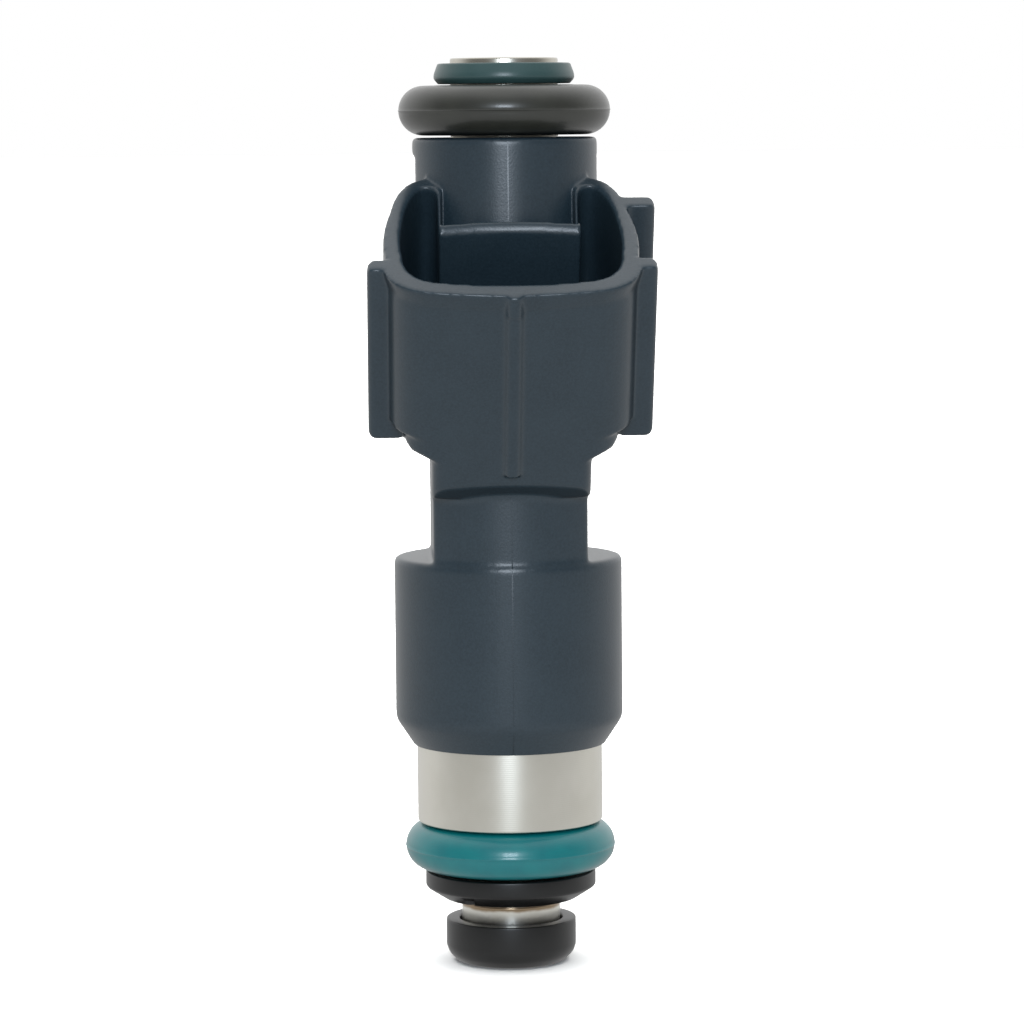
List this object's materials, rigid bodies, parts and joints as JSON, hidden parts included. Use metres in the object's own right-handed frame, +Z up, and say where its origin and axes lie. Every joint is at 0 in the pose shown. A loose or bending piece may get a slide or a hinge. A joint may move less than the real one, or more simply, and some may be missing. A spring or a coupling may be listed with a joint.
{
  "type": "fuel injector",
  "caption": "Electromagnetic port fuel injector with a moulded connector, a turned steel band, seals at both ends and a lifting needle valve inside.",
  "frame": {"origin": "on the injector's axis, in the plane of the nozzle cap's lower face, which goes into the manifold pocket", "axes": "+Z up the injector's axis from the nozzle to the fuel inlet, -Y towards the side the connector faces"},
  "size_m": [0.0195, 0.0247, 0.0627],
  "materials": {
    "housing_plastic": "fine matte grain, glass-filled nylon",
    "tinned_terminal": "bright tin plating",
    "stainless_tube": "drawn stainless, satin",
    "filter_plastic": "natural nylon",
    "filter_gauze": "woven nylon gauze",
    "brass": "bright brass",
    "dark_rubber": "satin moulded rubber, dark olive grey",
    "collar_plastic": "satin teal-grey nylon",
    "spring_steel": "drawn spring wire",
    "magnetic_steel": "turned magnetic stainless",
    "ball_steel": "ground and lapped",
    "nozzle_steel": "turned stainless with a weld's straw tint",
    "copper_wire": "enamelled copper wire",
    "turned_steel": "fine turned satin steel",
    "green_rubber": "satin moulded rubber, blue-green",
    "black_plastic": "satin black nylon"
  },
  "bodies": {
    "injector_body": {"housing_overmould": "housing_plastic", "terminal_left": "tinned_terminal", "terminal_right": "tinned_terminal", "inlet_tube": "stainless_tube", "filter_frame": "filter_plastic", "filter_mesh": "filter_gauze", "filter_ring": "brass", "upper_o_ring": "dark_rubber", "upper_collar": "collar_plastic", "adjusting_tube": "stainless_tube", "return_spring": "spring_steel", "pole_core": "magnetic_steel", "valve_seat": "ball_steel", "lower_guide": "stainless_tube", "orifice_plate": "stainless_tube", "valve_body": "nozzle_steel", "air_gap_sleeve": "stainless_tube", "coil_bobbin": "black_plastic", "coil_winding": "copper_wire", "yoke_shell": "turned_steel", "yoke_cover": "magnetic_steel", "lower_o_ring": "green_rubber", "lower_retainer": "black_plastic", "nozzle_cap": "black_plastic"},
    "valve_needle": {"armature": "magnetic_steel", "needle_tube": "stainless_tube", "valve_ball": "ball_steel"}
  },
  "joints": [
    {"name": "valve_lift", "type": "slide", "parent": "injector_body", "child": "valve_needle", "axis": [0, 0, 1], "range_m": [0, 0.0001], "stiffness_N_per_m": 100, "springref_m": -0.0002, "deforming": ["return_spring"]}
  ]
}
